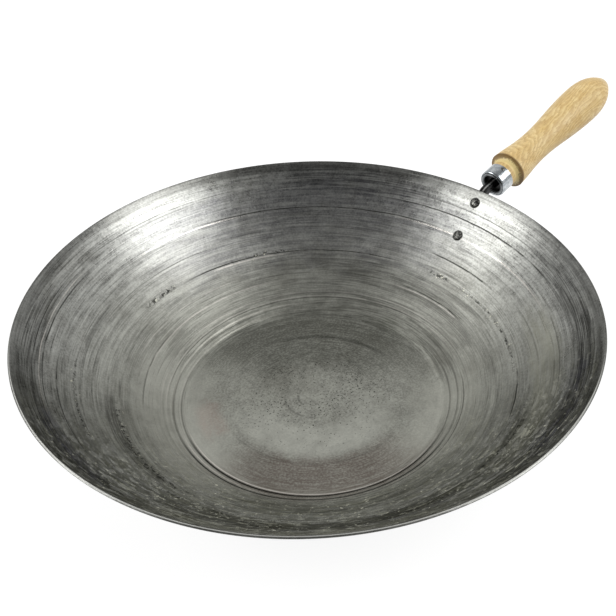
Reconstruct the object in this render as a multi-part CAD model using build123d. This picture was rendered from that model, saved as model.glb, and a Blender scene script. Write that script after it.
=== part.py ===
from build123d import *
from math import asin, atan2, cos, degrees, hypot, radians, sin
import os

# A spun carbon steel wok with a flat floor and one long handle. A forged steel bracket is riveted
# to the outside of the wall below the rim. Its square bar leaves the rim, enters a plated ferrule
# and runs on as a tang inside a turned wooden grip, where a cross pin holds all three.
# The origin is the middle of the floor's underside, +Z is up and the handle points along +X.
# Faces that bear on each other keep a named gap, and every slope and arc centre follows the sizes.

# The bowl
rim_diameter = 356.0        # over the rim's outer corner
rim_height = 77.8           # from the underside to the rim's outer corner
floor_diameter = 160.0      # floor, out to the foot of the wall
dish_diameter = 100.0       # flat middle of the floor, a little lower than the rest
dish_depth = 0.6
dish_run = 14.0             # width of the gentle step round the dish
sheet = 1.5
foot_radius = 16.0          # inner radius between the floor and the wall
wall_radius = 350.0         # inner radius of the gently curved wall, seen from the side
rim_round = 0.3             # deburred corners of the cut edge
groove_diameters = (172.0, 182.0)   # two turned lines round the foot of the wall
groove_depth = 0.35
groove_tool_radius = 1.9

# The rivets
rivet_from_rim = 9.3        # down the wall from the rim to the upper rivet
rivet_pitch = 26.0
shank_diameter = 4.8
head_diameter = 7.0         # inside the bowl
head_height = 1.5
tail_diameter = 7.4         # outside, on the bracket
tail_height = 1.8

# The bracket
pad_width = 18.0
pad_thickness = 3.0
bar_width = 5.6             # square bar, across its flats
bar_corner = 0.9
knee_past_rim = 0.7         # where the bar turns outwards, past the rim's level
knee_radius = 9.0
handle_rise = 10.83         # angle of the handle above level, degrees
stem_length = 9.6           # from the knee to the ferrule's mouth
tang_length = 62.0          # from the ferrule's mouth to the tang's point
tang_point = 6.0            # length of the tapered point
tang_taper = 14.0           # slope of the point's sides, degrees

# The ferrule
ferrule_diameter = 20.4
ferrule_wall = 0.8
ferrule_length = 10.9
mouth_diameter = 14.0
lip_return = 1.8            # how far the turned-in lip reaches back
lip_round = 1.4
lip_inner_round = 0.5
lip_groove_depth = 0.3
lip_groove_radius = 0.7

# The grip
shoulder_from_mouth = 18.7
grip_length = 124.4         # from the shoulder to the rounded end
grip_belly_diameter = 29.8
neck_diameter = 19.6
cove_length = 3.0
cove_radius = 4.2
tenon_setback = 3.5         # the wood stops this far inside the mouth
body_length_shares = (0.06, 0.14, 0.24, 0.37, 0.53, 0.71, 0.82, 0.91, 0.965)
body_radius_shares = (0.89, 0.815, 0.76, 0.785, 0.91, 1.0, 0.965, 0.76, 0.50)
shoulder_share = 0.93       # shoulder radius as a share of the belly's
shoulder_slope = (1.0, -0.08)   # direction of the outline where it leaves the shoulder

# The cross pin
pin_diameter = 2.0
pin_head_diameter = 2.8
pin_head_height = 0.5
pin_length = 15.0
pin_from_back = 2.3         # from the ferrule's back edge
pin_lean = 20.0             # degrees off the handle's upright plane, towards -Y

# Fits
seat_gap = 0.05             # between faces that bear on each other
shank_gap = 0.1             # round a rivet's or the pin's shank
tang_gap = 0.1              # round the bar's corners in the bored wood
overrun = 5.0               # how far a cutter runs past what it cuts


def on_arc(centre, radius, slope):
    """Point of an upward-curving arc where its slope is the given angle in radians."""
    return Vector(centre.X + radius * sin(slope), 0, centre.Z - radius * cos(slope))


def arc_between(centre, radius, first_slope, last_slope):
    """Arc about a centre in the XZ plane, from one slope to the other."""
    middle_slope = (first_slope + last_slope) / 2
    return ThreePointArc(on_arc(centre, radius, first_slope), on_arc(centre, radius, middle_slope),
                         on_arc(centre, radius, last_slope))


# The wall's arc starts where the foot's arc reaches its slope and ends at the rim. Both slopes
# follow from the diameters, the height and the two radii.
rim_radius = rim_diameter / 2
floor_radius = floor_diameter / 2
run = rim_radius - floor_radius
foot_height = sheet + dish_depth + foot_radius
rise = rim_height - foot_height
centre_gap = wall_radius - foot_radius
outer_wall_radius = wall_radius + sheet
foot_balance = (outer_wall_radius ** 2 - run ** 2 - rise ** 2 - centre_gap ** 2) / (2 * centre_gap)
foot_slope = atan2(rise, run) + asin(foot_balance / hypot(run, rise))
foot_centre = Vector(floor_radius, 0, foot_height)
wall_centre = Vector(floor_radius - centre_gap * sin(foot_slope), 0,
                     foot_height + centre_gap * cos(foot_slope))
rim_slope = asin((rim_radius - wall_centre.X) / outer_wall_radius)

# The step round the dish is two equal arcs, the first curving up and the second levelling out.
dish_radius = dish_diameter / 2
step_radius = (dish_run ** 2 + dish_depth ** 2) / (4 * dish_depth)
step_slope = asin(dish_run / (2 * step_radius))
step_centre = Vector(dish_radius, 0, sheet + step_radius)
crest_centre = Vector(dish_radius + dish_run, 0, sheet + dish_depth - step_radius)


def slope_below_rim(distance):
    """Slope of the wall at a distance down it from the rim."""
    return rim_slope - distance / outer_wall_radius


def step_lines(face_offset):
    """Floor from its middle to the foot, face_offset below its upper face."""
    low, high = sheet - face_offset, sheet + dish_depth - face_offset
    crest_radius = step_radius - face_offset
    return [
        Line((0, 0, low), (dish_radius, 0, low)),
        arc_between(step_centre, step_radius + face_offset, 0, step_slope),
        arc_between(crest_centre, -crest_radius, step_slope, 0),
        Line((dish_radius + dish_run, 0, high), (floor_radius, 0, high)),
    ]


def wall_plane(slope, radius):
    """Plane on the wall: X runs up the slope and Z points out of the bowl."""
    outwards = Vector(sin(slope), 0, -cos(slope))
    return Plane(origin=on_arc(wall_centre, radius, slope),
                 x_dir=Vector(cos(slope), 0, sin(slope)), z_dir=outwards)


def turned(outline, axis=Axis.Z):
    """Solid of revolution of a closed outline."""
    return revolve(make_face(outline), axis, 360)


def make_bowl():
    """Sheet bowl: two parallel outlines joined at the rim's cut edge, with rivet holes and grooves."""
    outer_rim = on_arc(wall_centre, outer_wall_radius, rim_slope)
    inner_rim = on_arc(wall_centre, wall_radius, rim_slope)
    outline = [
        *step_lines(sheet),
        arc_between(foot_centre, foot_radius + sheet, 0, foot_slope),
        arc_between(wall_centre, outer_wall_radius, foot_slope, rim_slope),
        Line(outer_rim, inner_rim),
        arc_between(wall_centre, wall_radius, rim_slope, foot_slope),
        arc_between(foot_centre, foot_radius, foot_slope, 0),
        *step_lines(0),
        Line((0, 0, sheet), (0, 0, 0)),
    ]
    bowl = turned(outline)
    bowl = fillet(bowl.edges().sort_by(Axis.Z)[-2:], rim_round)
    for diameter in groove_diameters:
        bowl -= foot_groove(diameter / 2)
    for distance in rivet_distances():
        plane = wall_plane(slope_below_rim(distance), wall_radius)
        bowl -= plane * Cylinder(shank_diameter / 2 + shank_gap, 2 * overrun)
    return bowl


def foot_groove(radius):
    """Ring cutter with a round nose, centred over the foot so that it bites groove_depth deep."""
    foot_edge = on_arc(foot_centre, foot_radius, foot_slope).X
    centre, curve = (foot_centre, foot_radius) if radius < foot_edge else (wall_centre, wall_radius)
    slope = asin((radius - centre.X) / curve)
    nose = on_arc(centre, curve - groove_tool_radius + groove_depth, slope)
    return Pos(0, 0, nose.Z) * Torus(nose.X, groove_tool_radius)


def rivet_distances():
    """Distances down the wall from the rim to the two rivets, upper one first."""
    return [rivet_from_rim, rivet_from_rim + rivet_pitch]


def make_rivet(distance):
    """Solid rivet: a domed head inside the bowl, a shank, and a domed tail on the bracket."""
    inside = seat_gap + dome_lift(head_diameter)
    grip_depth = sheet + seat_gap + pad_thickness + seat_gap + dome_lift(tail_diameter)
    shank = Pos(0, 0, (grip_depth - inside) / 2) * Cylinder(shank_diameter / 2, grip_depth + inside)
    head = Pos(0, 0, -inside) * Rot(180, 0, 0) * dome(head_diameter / 2, head_height)
    tail = Pos(0, 0, grip_depth) * dome(tail_diameter / 2, tail_height)
    return wall_plane(slope_below_rim(distance), wall_radius) * (shank + head + tail)


def dome_lift(diameter):
    """How far a flat disc of this diameter stands off the wall's curve at its edge."""
    return (diameter / 2) ** 2 / rim_diameter


def dome(radius, height):
    """Cap of a sphere on a flat base, base at zero."""
    ball = (radius ** 2 + height ** 2) / (2 * height)
    cap = Pos(0, 0, height - ball) * Sphere(ball)
    return cap & Pos(0, 0, height) * Cylinder(radius, 2 * height)


# The handle's own line: it starts at the knee, rises outwards at handle_rise and carries the
# ferrule, the grip and the pin. Distances along it are measured from the ferrule's mouth.
rise_angle = radians(handle_rise)
handle_direction = Vector(cos(rise_angle), 0, sin(rise_angle))
rim_direction = Vector(cos(rim_slope), 0, sin(rim_slope))
rim_outwards = Vector(sin(rim_slope), 0, -cos(rim_slope))
rim_corner = on_arc(wall_centre, outer_wall_radius, rim_slope)
knee = rim_corner + rim_outwards * (seat_gap + bar_width / 2) + rim_direction * knee_past_rim
mouth = knee + handle_direction * stem_length
handle_plane = Plane(origin=mouth, x_dir=Vector(0, 1, 0), z_dir=handle_direction)
ferrule_bore = ferrule_diameter / 2 - ferrule_wall
bar_reach = hypot(bar_width / 2, bar_width / 2) - bar_corner * (hypot(1, 1) - 1)
pin_place = ferrule_length - pin_from_back


def make_bracket():
    """Forged bracket: a pad shaped to the wall, and a square bar that ends as a pointed tang."""
    bracket = make_pad() + make_bar()
    for distance in rivet_distances():
        plane = wall_plane(slope_below_rim(distance), wall_radius)
        bracket -= plane * Cylinder(shank_diameter / 2 + shank_gap, 4 * overrun)
    return bracket - pin_plane() * Cylinder(pin_diameter / 2 + shank_gap, 2 * pin_length)


def make_pad():
    """Shell concentric with the wall's outer face, trimmed to a spade outline round the rivets."""
    upper, lower = rivet_distances()
    inner = outer_wall_radius + seat_gap
    outer = inner + pad_thickness
    low_slope = slope_below_rim(lower + pad_width)
    section = [
        arc_between(wall_centre, inner, low_slope, rim_slope),
        Line(on_arc(wall_centre, inner, rim_slope), on_arc(wall_centre, outer, rim_slope)),
        arc_between(wall_centre, outer, rim_slope, low_slope),
        Line(on_arc(wall_centre, outer, low_slope), on_arc(wall_centre, inner, low_slope)),
    ]
    spread = degrees(pad_width / on_arc(wall_centre, inner, low_slope).X)
    shell = revolve(make_face(section), Axis.Z, spread)
    shell = Rot(0, 0, -spread / 2) * shell
    middle = wall_plane(slope_below_rim((upper + lower) / 2), outer_wall_radius)
    half_pitch = rivet_pitch / 2
    spade = make_hull([
        *(Pos(-half_pitch, 0) * CenterArc((0, 0), pad_width / 2, 0, 360)).edges(),
        *(Pos(half_pitch, 0) * CenterArc((0, 0), pad_width / 2, 0, 360)).edges(),
        *(Pos(half_pitch + upper - bar_width / 2, 0) * CenterArc((0, 0), bar_width / 2, 0, 360)).edges(),
    ])
    return shell & middle * extrude(spade, overrun + pad_thickness, both=True)


def make_bar():
    """Square bar along the wall, round the knee and out along the handle's line to its point."""
    start = knee - rim_direction * (knee_past_rim + rivet_from_rim - tail_diameter / 2 - bar_corner)
    end = mouth + handle_direction * (tang_length - tang_point)
    path = FilletPolyline(start, knee, end, radius=knee_radius)
    section = RectangleRounded(bar_width, bar_width, bar_corner)
    start_plane = Plane(origin=start, x_dir=Vector(0, 1, 0), z_dir=rim_direction)
    end_plane = Plane(origin=end, x_dir=Vector(0, 1, 0), z_dir=handle_direction)
    point = extrude(end_plane * section, tang_point, taper=tang_taper)
    return sweep(start_plane * section, path=path) + point


def make_ferrule():
    """Pressed cup with an open mouth, whose edge is rolled in and turned back."""
    radius = ferrule_diameter / 2
    mouth_radius = mouth_diameter / 2
    points = [
        (radius, ferrule_length), (radius, 0), (mouth_radius, 0), (mouth_radius, lip_return),
        (mouth_radius + ferrule_wall, lip_return), (mouth_radius + ferrule_wall, ferrule_wall),
        (ferrule_bore, ferrule_wall), (ferrule_bore, ferrule_length),
    ]
    outline = make_face(Polyline(*points, close=True))
    corners = outline.vertices().filter_by_position(Axis.Y, 0, 0).sort_by(Axis.X)
    outline = fillet(corners[-1], lip_round)
    corners = outline.vertices().filter_by_position(Axis.Y, 0, 0).sort_by(Axis.X)
    outline = fillet(corners[0], lip_inner_round)
    cup = handle_plane * revolve(Plane.XZ * outline, Axis.Z, 360)
    groove_ring = (radius + mouth_radius) / 2 - lip_inner_round
    groove = Pos(0, 0, lip_groove_depth - lip_groove_radius) * Torus(groove_ring, lip_groove_radius)
    return cup - handle_plane * groove - pin_plane() * Cylinder(pin_diameter / 2 + shank_gap, pin_length)


def make_grip():
    """Turned grip: tenon in the ferrule, neck, cove, shoulder, waist, belly and a rounded end."""
    shoulder_radius = shoulder_share * grip_belly_diameter / 2
    neck_radius = neck_diameter / 2
    tenon_radius = ferrule_bore - seat_gap
    cove_start = shoulder_from_mouth - cove_length
    back = ferrule_length + seat_gap
    body = [
        (radius_share * grip_belly_diameter / 2, shoulder_from_mouth + length_share * grip_length)
        for length_share, radius_share in zip(body_length_shares, body_radius_shares)
    ]
    shoulder = (shoulder_radius, shoulder_from_mouth)
    end = (0, shoulder_from_mouth + grip_length)
    outline = [
        Line((0, tenon_setback), (tenon_radius, tenon_setback)),
        Line((tenon_radius, tenon_setback), (tenon_radius, back)),
        Line((tenon_radius, back), (neck_radius, back)),
        Line((neck_radius, back), (neck_radius, cove_start)),
        RadiusArc((neck_radius, cove_start), shoulder, cove_radius),
        Spline(shoulder, *body, end, tangents=[shoulder_slope[::-1], (-1, 0)]),
        Line(end, (0, tenon_setback)),
    ]
    grip = handle_plane * revolve(Plane.XZ * make_face(outline), Axis.Z, 360)
    bore_depth = tang_length + tang_gap
    bore = Pos(0, 0, bore_depth / 2) * Cylinder(bar_reach + tang_gap, bore_depth)
    hole_depth = pin_length + shank_gap
    hole = Pos(0, 0, (overrun - hole_depth) / 2) * Cylinder(pin_diameter / 2 + shank_gap,
                                                            overrun + hole_depth)
    return grip - handle_plane * bore - pin_plane() * hole


def pin_plane():
    """Plane at the pin's head on the ferrule's outer face, Z pointing out along the pin."""
    on_line = mouth + handle_direction * pin_place
    lean = radians(pin_lean)
    upright = Vector(-handle_direction.Z, 0, handle_direction.X)
    outwards = upright * cos(lean) - Vector(0, 1, 0) * sin(lean)
    return Plane(origin=on_line + outwards * (ferrule_diameter / 2 + seat_gap),
                 x_dir=handle_direction, z_dir=outwards)


def make_pin():
    """Small nail with a domed head, through the ferrule, the wood and the tang."""
    shank = Pos(0, 0, -pin_length / 2) * Cylinder(pin_diameter / 2, pin_length)
    return pin_plane() * (shank + dome(pin_head_diameter / 2, pin_head_height))


upper_rivet, lower_rivet = rivet_distances()
nodes = {
    "bowl": make_bowl(),
    "handle_bracket": make_bracket(),
    "rivet_upper": make_rivet(upper_rivet),
    "rivet_lower": make_rivet(lower_rivet),
    "ferrule": make_ferrule(),
    "grip": make_grip(),
    "grip_pin": make_pin(),
}
os.makedirs("parts", exist_ok=True)
for name, shape in nodes.items():
    shape.label = name
    export_step(shape, f"parts/{name}.step")
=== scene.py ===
import bpy
import numpy as np
from math import asin, atan2, cos, hypot, radians, sin
from mathutils import Matrix, Vector


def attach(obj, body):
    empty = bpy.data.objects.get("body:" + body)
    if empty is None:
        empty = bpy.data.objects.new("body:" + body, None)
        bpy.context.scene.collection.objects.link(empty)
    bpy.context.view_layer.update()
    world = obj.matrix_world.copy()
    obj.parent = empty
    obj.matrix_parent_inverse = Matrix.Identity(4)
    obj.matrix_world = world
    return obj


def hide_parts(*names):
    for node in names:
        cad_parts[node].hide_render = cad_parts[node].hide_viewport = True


# A spun carbon steel wok on a pale floor. Lengths are in metres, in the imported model's frame: the
# origin is the middle of the floor's underside, +Z is up and the handle points along +X.
# The bowl is a new surface with its turned lines; the other parts keep their CAD shape and get
# worn metal and wood finishes.

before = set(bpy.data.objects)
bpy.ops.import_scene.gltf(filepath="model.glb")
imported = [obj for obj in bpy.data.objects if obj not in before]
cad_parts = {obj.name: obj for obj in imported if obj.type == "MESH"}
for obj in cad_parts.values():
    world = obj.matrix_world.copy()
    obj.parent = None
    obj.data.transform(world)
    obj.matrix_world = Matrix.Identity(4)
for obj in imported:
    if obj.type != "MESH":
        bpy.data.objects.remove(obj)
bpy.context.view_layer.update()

# The bowl, as the CAD part has it
RIM_RADIUS = 0.178  # over the rim's outer corner
RIM_HEIGHT = 0.0778
SHEET = 0.0015
FLOOR_RADIUS = 0.080
DISH_RADIUS = 0.050
DISH_DEPTH = 0.0006
DISH_RUN = 0.014
FOOT_RADIUS = 0.016
WALL_RADIUS = 0.350
RIM_ROUND = 0.0003
SEGMENTS = 384  # round the turn

# Turned lines cut in the inner face: radius, depth away from the handle and towards it, and half
# width. Their centre sits a little beside the rim's, which fades out up the wall.
TURNED_LINES = (
    (0.0872, 0.00035, 0.00003, 0.00120),
    (0.0922, 0.00035, 0.00003, 0.00120),
    (0.0948, 0.00007, 0.00004, 0.00090),
    (0.0982, 0.00009, 0.00005, 0.00100),
    (0.1016, 0.00005, 0.00005, 0.00090),
    (0.1115, 0.00005, 0.00005, 0.00090),
    (0.1172, 0.00006, 0.00006, 0.00110),
)
TURNED_LINES_END = (0.0975, 0.1195)  # radii where the double ring and the fine lines end
OFF_CENTRE = (0.0041, -0.0009)
OFF_CENTRE_FADE = (0.095, 0.140)  # radii between which it fades

# The handle's line, as the CAD part has it
HANDLE_RISE = radians(10.83)
BAR_WIDTH = 0.0056
BAR_CLEARANCE = 0.00005  # between the bar and the wall
KNEE_PAST_RIM = 0.0007
STEM_LENGTH = 0.0096  # from the knee to the ferrule's mouth
SHOULDER = 0.0187  # from the mouth to the grip's shoulder
GRIP_LENGTH = 0.1244
RIVETS_FROM_RIM = (0.0093, 0.0353)
SHEET_GRAIN = radians(46.0)  # across the rolled sheet's grain, from +X


# ---------------- the bowl's outline

def arc(centre, radius, slopes):
    """Points (radius, height) of an arc about a centre, where it climbs at the given slopes."""
    return np.stack([centre[0] + radius * np.sin(slopes),
                     centre[1] - radius * np.cos(slopes)], axis=-1)


foot_height = SHEET + DISH_DEPTH + FOOT_RADIUS
centre_gap = WALL_RADIUS - FOOT_RADIUS
across, climb = RIM_RADIUS - FLOOR_RADIUS, RIM_HEIGHT - foot_height
balance = ((WALL_RADIUS + SHEET) ** 2 - across ** 2 - climb ** 2
           - centre_gap ** 2) / (2 * centre_gap)
foot_slope = atan2(climb, across) + asin(balance / hypot(across, climb))
foot_centre = (FLOOR_RADIUS, foot_height)
wall_centre = (FLOOR_RADIUS - centre_gap * sin(foot_slope),
               foot_height + centre_gap * cos(foot_slope))
rim_slope = asin((RIM_RADIUS - wall_centre[0]) / (WALL_RADIUS + SHEET))


def dish_height(radius):
    """Rise of the floor over the dish: two parabolas that meet halfway across the step."""
    share = np.clip((radius - DISH_RADIUS) / DISH_RUN, 0, 1)
    return DISH_DEPTH * np.where(share < 0.5, 2 * share ** 2, 1 - 2 * (1 - share) ** 2)


def face_outline(offset, floor_radii, foot_slopes, wall_slopes):
    """One face of the sheet from its middle to the rim, offset below the inner face."""
    floor = np.stack([floor_radii, SHEET - offset + dish_height(floor_radii)], axis=-1)
    foot = arc(foot_centre, FOOT_RADIUS + offset, foot_slopes)
    wall = arc(wall_centre, WALL_RADIUS + offset, wall_slopes)
    return np.concatenate([floor, foot, wall])


def rim_outline():
    """The rim's cut edge, square to the wall, with both corners rounded by quarter circles."""
    along = np.array([cos(rim_slope), sin(rim_slope)])
    out = np.array([sin(rim_slope), -cos(rim_slope)])
    corner = arc(wall_centre, WALL_RADIUS, np.array(rim_slope))
    turn = np.linspace(0, np.pi / 2, 5)[:, None]
    inner = corner + RIM_ROUND * (out - along + along * np.sin(turn) - out * np.cos(turn))
    outer = corner + out * (SHEET - RIM_ROUND) + RIM_ROUND * (
        -along + along * np.cos(turn) + out * np.sin(turn))
    return np.concatenate([inner, outer])


def inner_stations():
    """Radii on the floor and slopes on the foot and wall, closer together over the turned lines."""
    floor = np.concatenate([np.linspace(0, DISH_RADIUS, 7)[:-1],
                            np.linspace(DISH_RADIUS, DISH_RADIUS + DISH_RUN, 13)[:-1],
                            np.linspace(DISH_RADIUS + DISH_RUN, FLOOR_RADIUS, 5)[:-1]])
    foot = np.linspace(0, foot_slope, 36)[:-1]
    double_end, fine_end = (asin((radius - wall_centre[0]) / WALL_RADIUS)
                            for radius in TURNED_LINES_END)
    wall = np.concatenate([np.linspace(foot_slope, double_end, 32)[:-1],
                           np.linspace(double_end, fine_end, 44)[:-1],
                           np.linspace(fine_end, rim_slope - RIM_ROUND / WALL_RADIUS, 46)[:-1]])
    return floor, foot, wall


def turned_radius(x, y):
    """Distance from the turned lines' centre, which eases back to the axis between two radii."""
    radius = np.hypot(x, y)
    share = np.clip((radius - OFF_CENTRE_FADE[0]) / (OFF_CENTRE_FADE[1] - OFF_CENTRE_FADE[0]), 0, 1)
    weight = (1 - share) ** 2 * (1 + 2 * share)
    return np.hypot(x - OFF_CENTRE[0] * weight, y - OFF_CENTRE[1] * weight)


def turned_relief(radius, angle):
    """Depth of the turned lines: a parabola across each line, eased round the turn by a cosine."""
    towards_handle = 0.5 + 0.5 * np.cos(angle)
    depth = np.zeros_like(radius)
    for line_radius, away_depth, handle_depth, half_width in TURNED_LINES:
        line_depth = away_depth + (handle_depth - away_depth) * towards_handle
        depth += line_depth * np.clip(1 - ((radius - line_radius) / half_width) ** 2, 0, None)
    return depth


def hand_waves(share, angle):
    """Slight waves of hand spinning: three sines round the turn, none at the foot or the rim."""
    height = np.sin(np.pi * np.clip(share, 0, 1)) ** 2
    return height * (0.00010 * np.sin(5 * angle + 4 * share)
                     + 0.00008 * np.sin(9 * angle - 7 * share + 1.3)
                     + 0.00005 * np.sin(17 * angle + 11 * share + 0.4))


def spun_grid(outline, normals, shift, angle):
    """Turn an outline round Z. Point (i, j) is outline point i, moved along its normal by shift
    (i, j), at angle j of the turn."""
    radius = outline[:, 0, None] + normals[:, 0, None] * shift
    height = outline[:, 1, None] + normals[:, 1, None] * shift
    return np.stack([radius * np.cos(angle), radius * np.sin(angle), height], axis=-1)


def closed_faces(rings, segments):
    """Quads between neighbouring rings and a fan of triangles at each pole, all facing outwards."""
    i = np.arange(rings - 1)[:, None] * segments
    j = np.arange(segments)
    following = (j + 1) % segments
    quads = np.stack([i + j, i + segments + j, i + segments + following, i + following], axis=-1)
    first_pole, last_pole = rings * segments, rings * segments + 1
    last_ring = (rings - 1) * segments
    first_fan = np.stack([np.full(segments, first_pole), j, following], axis=-1)
    last_fan = np.stack([np.full(segments, last_pole), last_ring + following, last_ring + j],
                        axis=-1)
    return quads.reshape(-1, 4), np.concatenate([first_fan, last_fan])


def mesh_object(name, points, quads, triangles):
    """Object at the origin from numpy points, quads and triangles, shaded smooth."""
    mesh = bpy.data.meshes.new(name)
    mesh.vertices.add(len(points))
    mesh.vertices.foreach_set("co", points.astype(np.float32).ravel())
    corners = np.concatenate([quads.ravel(), triangles.ravel()])
    mesh.loops.add(len(corners))
    mesh.loops.foreach_set("vertex_index", corners.astype(np.int32))
    sizes = np.concatenate([np.full(len(quads), 4), np.full(len(triangles), 3)])
    mesh.polygons.add(len(sizes))
    mesh.polygons.foreach_set("loop_start", (np.cumsum(sizes) - sizes).astype(np.int32))
    mesh.polygons.foreach_set("use_smooth", np.ones(len(sizes), dtype=bool))
    mesh.update(calc_edges=True)
    piece = bpy.data.objects.new(name, mesh)
    bpy.context.collection.objects.link(piece)
    return piece


def bowl_outline():
    """Whole outline, inner face first, with its outward normals and the count of inner points."""
    floor, foot, wall = inner_stations()
    inner = face_outline(0, floor, foot, wall)
    outer = face_outline(SHEET, floor[::2], foot[::6], wall[:-2:4])[::-1]
    outline = np.concatenate([inner, rim_outline(), outer])
    tangent = np.gradient(outline, axis=0)
    tangent /= np.linalg.norm(tangent, axis=1)[:, None]
    return outline, np.stack([-tangent[:, 1], tangent[:, 0]], axis=-1), len(inner)


def make_bowl():
    outline, normals, inner_count = bowl_outline()
    angle = np.linspace(0, 2 * np.pi, SEGMENTS, endpoint=False)
    inside = (np.arange(len(outline)) < inner_count)[:, None]
    radius = outline[:, :1]
    turned = turned_radius(radius * np.cos(angle), radius * np.sin(angle))
    relief = dish_height(turned) - dish_height(radius) - turned_relief(turned, angle)
    share = (radius - FLOOR_RADIUS) / (RIM_RADIUS - FLOOR_RADIUS)
    shift = np.where(inside, relief, 0) + np.where(inside, 1, -1) * hand_waves(share, angle)
    grid = spun_grid(outline[1:-1], normals[1:-1], shift[1:-1], angle)
    poles = np.array([[0, 0, outline[0, 1]], [0, 0, outline[-1, 1]]])
    quads, fans = closed_faces(len(grid), SEGMENTS)
    piece = mesh_object("bowl_surface", np.concatenate([grid.reshape(-1, 3), poles]), quads, fans)

    # Distance along the outline from the middle of the dish, for marks that follow the turning
    run = np.concatenate([[0], np.cumsum(np.hypot(*np.diff(outline, axis=0).T))])
    inner_radii, inner_run = outline[:inner_count + 1, 0], run[:inner_count + 1]
    values = np.where(inside, run[:, None] + np.interp(turned, inner_radii, inner_run)
                      - np.interp(radius, inner_radii, inner_run), run[:, None])
    values = np.concatenate([values[1:-1].ravel(), [hypot(*OFF_CENTRE), run[-1]]])
    attribute = piece.data.attributes.new("run", "FLOAT", "POINT")
    attribute.data.foreach_set("value", values.astype(np.float32))
    return piece, lambda radius: float(np.interp(radius, inner_radii, inner_run))


# ---------------- nodes

def give(tree, socket, value):
    """Feed a socket from an output, or set its plain value. None leaves it as it is."""
    if isinstance(value, bpy.types.NodeSocket):
        tree.links.new(value, socket)
    elif value is not None:
        socket.default_value = value


def feed(tree, inputs, **values):
    """Feed inputs by name; an underscore in a name stands for a space."""
    for name, value in values.items():
        give(tree, inputs[name.replace("_", " ")], value)


def add(tree, kind, *values, **settings):
    """Add a shader node, set its properties and feed its inputs in order."""
    node = tree.nodes.new("ShaderNode" + kind)
    for name, value in settings.items():
        setattr(node, name, value)
    for socket, value in zip(node.inputs, values):
        give(tree, socket, value)
    return node


def calc(tree, operation, *values):
    return add(tree, "Math", *values, operation=operation).outputs[0]


def times(tree, first, second):
    return calc(tree, "MULTIPLY", first, second)


def most(tree, *values):
    """The largest of several values, so that marks laid over each other don't add up."""
    largest = values[0]
    for value in values[1:]:
        largest = calc(tree, "MAXIMUM", largest, value)
    return largest


def distance_from(tree, value, place):
    return calc(tree, "ABSOLUTE", calc(tree, "SUBTRACT", value, place))


def vector(tree, x, y, z):
    return add(tree, "CombineXYZ", x, y, z).outputs[0]


def vector_calc(tree, operation, *values):
    return add(tree, "VectorMath", *values, operation=operation).outputs[0]


def vector_times(tree, first, second):
    return vector_calc(tree, "MULTIPLY", first, second)


def measure(tree, operation, *values):
    """Length, distance or dot product of vectors."""
    return add(tree, "VectorMath", *values, operation=operation).outputs["Value"]


def step(tree, value, low, high, start=0.0, end=1.0):
    """Smooth change from start to end while the value goes from low to high."""
    return add(tree, "MapRange", value, low, high, start, end,
               interpolation_type="SMOOTHSTEP").outputs[0]


def noise(tree, place, scale, detail=2.0, roughness=0.5):
    return add(tree, "TexNoise", place, None, scale, detail, roughness).outputs[0]


def mix_values(tree, factor, first, second):
    return add(tree, "Mix", factor, None, first, second).outputs[0]


def mix(tree, factor, first, second):
    node = add(tree, "Mix", factor, data_type="RGBA")
    give(tree, node.inputs[6], first)
    give(tree, node.inputs[7], second)
    return node.outputs[2]


def colour(red, green, blue):
    """Linear colour with alpha from the 0 to 255 values of a screen."""
    screen = np.array([red, green, blue]) / 255
    linear = np.where(screen < 0.04045, screen / 12.92, ((screen + 0.055) / 1.055) ** 2.4)
    return (*linear.tolist(), 1.0)


def effect(name, inputs, outputs):
    """New node group. inputs maps a label to its default, a number or a vector."""
    group = bpy.data.node_groups.new(name, "ShaderNodeTree")
    for label, value in inputs.items():
        kind = "NodeSocketVector" if isinstance(value, tuple) else "NodeSocketFloat"
        group.interface.new_socket(label, in_out="INPUT", socket_type=kind).default_value = value
    for label, kind in outputs.items():
        group.interface.new_socket(label, in_out="OUTPUT", socket_type="NodeSocket" + kind)
    given = group.nodes.new("NodeGroupInput").outputs
    return group, given, group.nodes.new("NodeGroupOutput").inputs


def use(tree, group, **values):
    """Place an effect and give its only output."""
    node = tree.nodes.new("ShaderNodeGroup")
    node.node_tree = group
    feed(tree, node.inputs, **values)
    return node.outputs[0]


# ---------------- effects

ORIGIN = (0.0, 0.0, 0.0)
LEAST_REACH = 0.012  # radius inside which the direction fades out towards the axis


def turned_place_effect():
    """Direction round the Z axis and distance along the outline, which drive every turned mark."""
    group, given, result = effect("turned_place", {"Position": ORIGIN, "Run": 0.0},
                                  {"Place": "Vector"})
    x, y, _ = add(group, "SeparateXYZ", given["Position"]).outputs
    flat = vector(group, x, y, 0.0)
    reach = most(group, measure(group, "LENGTH", flat), LEAST_REACH)
    across = calc(group, "DIVIDE", x, reach)
    up = calc(group, "DIVIDE", y, reach)
    group.links.new(vector(group, across, up, given["Run"]), result["Place"])
    return group


def turned_lines_effect():
    """Streaks along the turn: noise squeezed to the pitch across them and slow round the turn."""
    group, given, result = effect(
        "turned_lines", {"Place": ORIGIN, "Pitch": 0.001, "Sweep": 4.0, "Seed": 0.0},
        {"Lines": "Float"})
    across = calc(group, "DIVIDE", 1.0, given["Pitch"])
    scale = vector(group, given["Sweep"], given["Sweep"], across)
    place = vector_times(group, given["Place"], scale)
    shift = vector(group, given["Seed"], given["Seed"], given["Seed"])
    lines = noise(group, vector_calc(group, "ADD", place, shift), 1.0, 3.0, 0.6)
    group.links.new(step(group, lines, 0.3, 0.7), result["Lines"])
    return group


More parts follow.
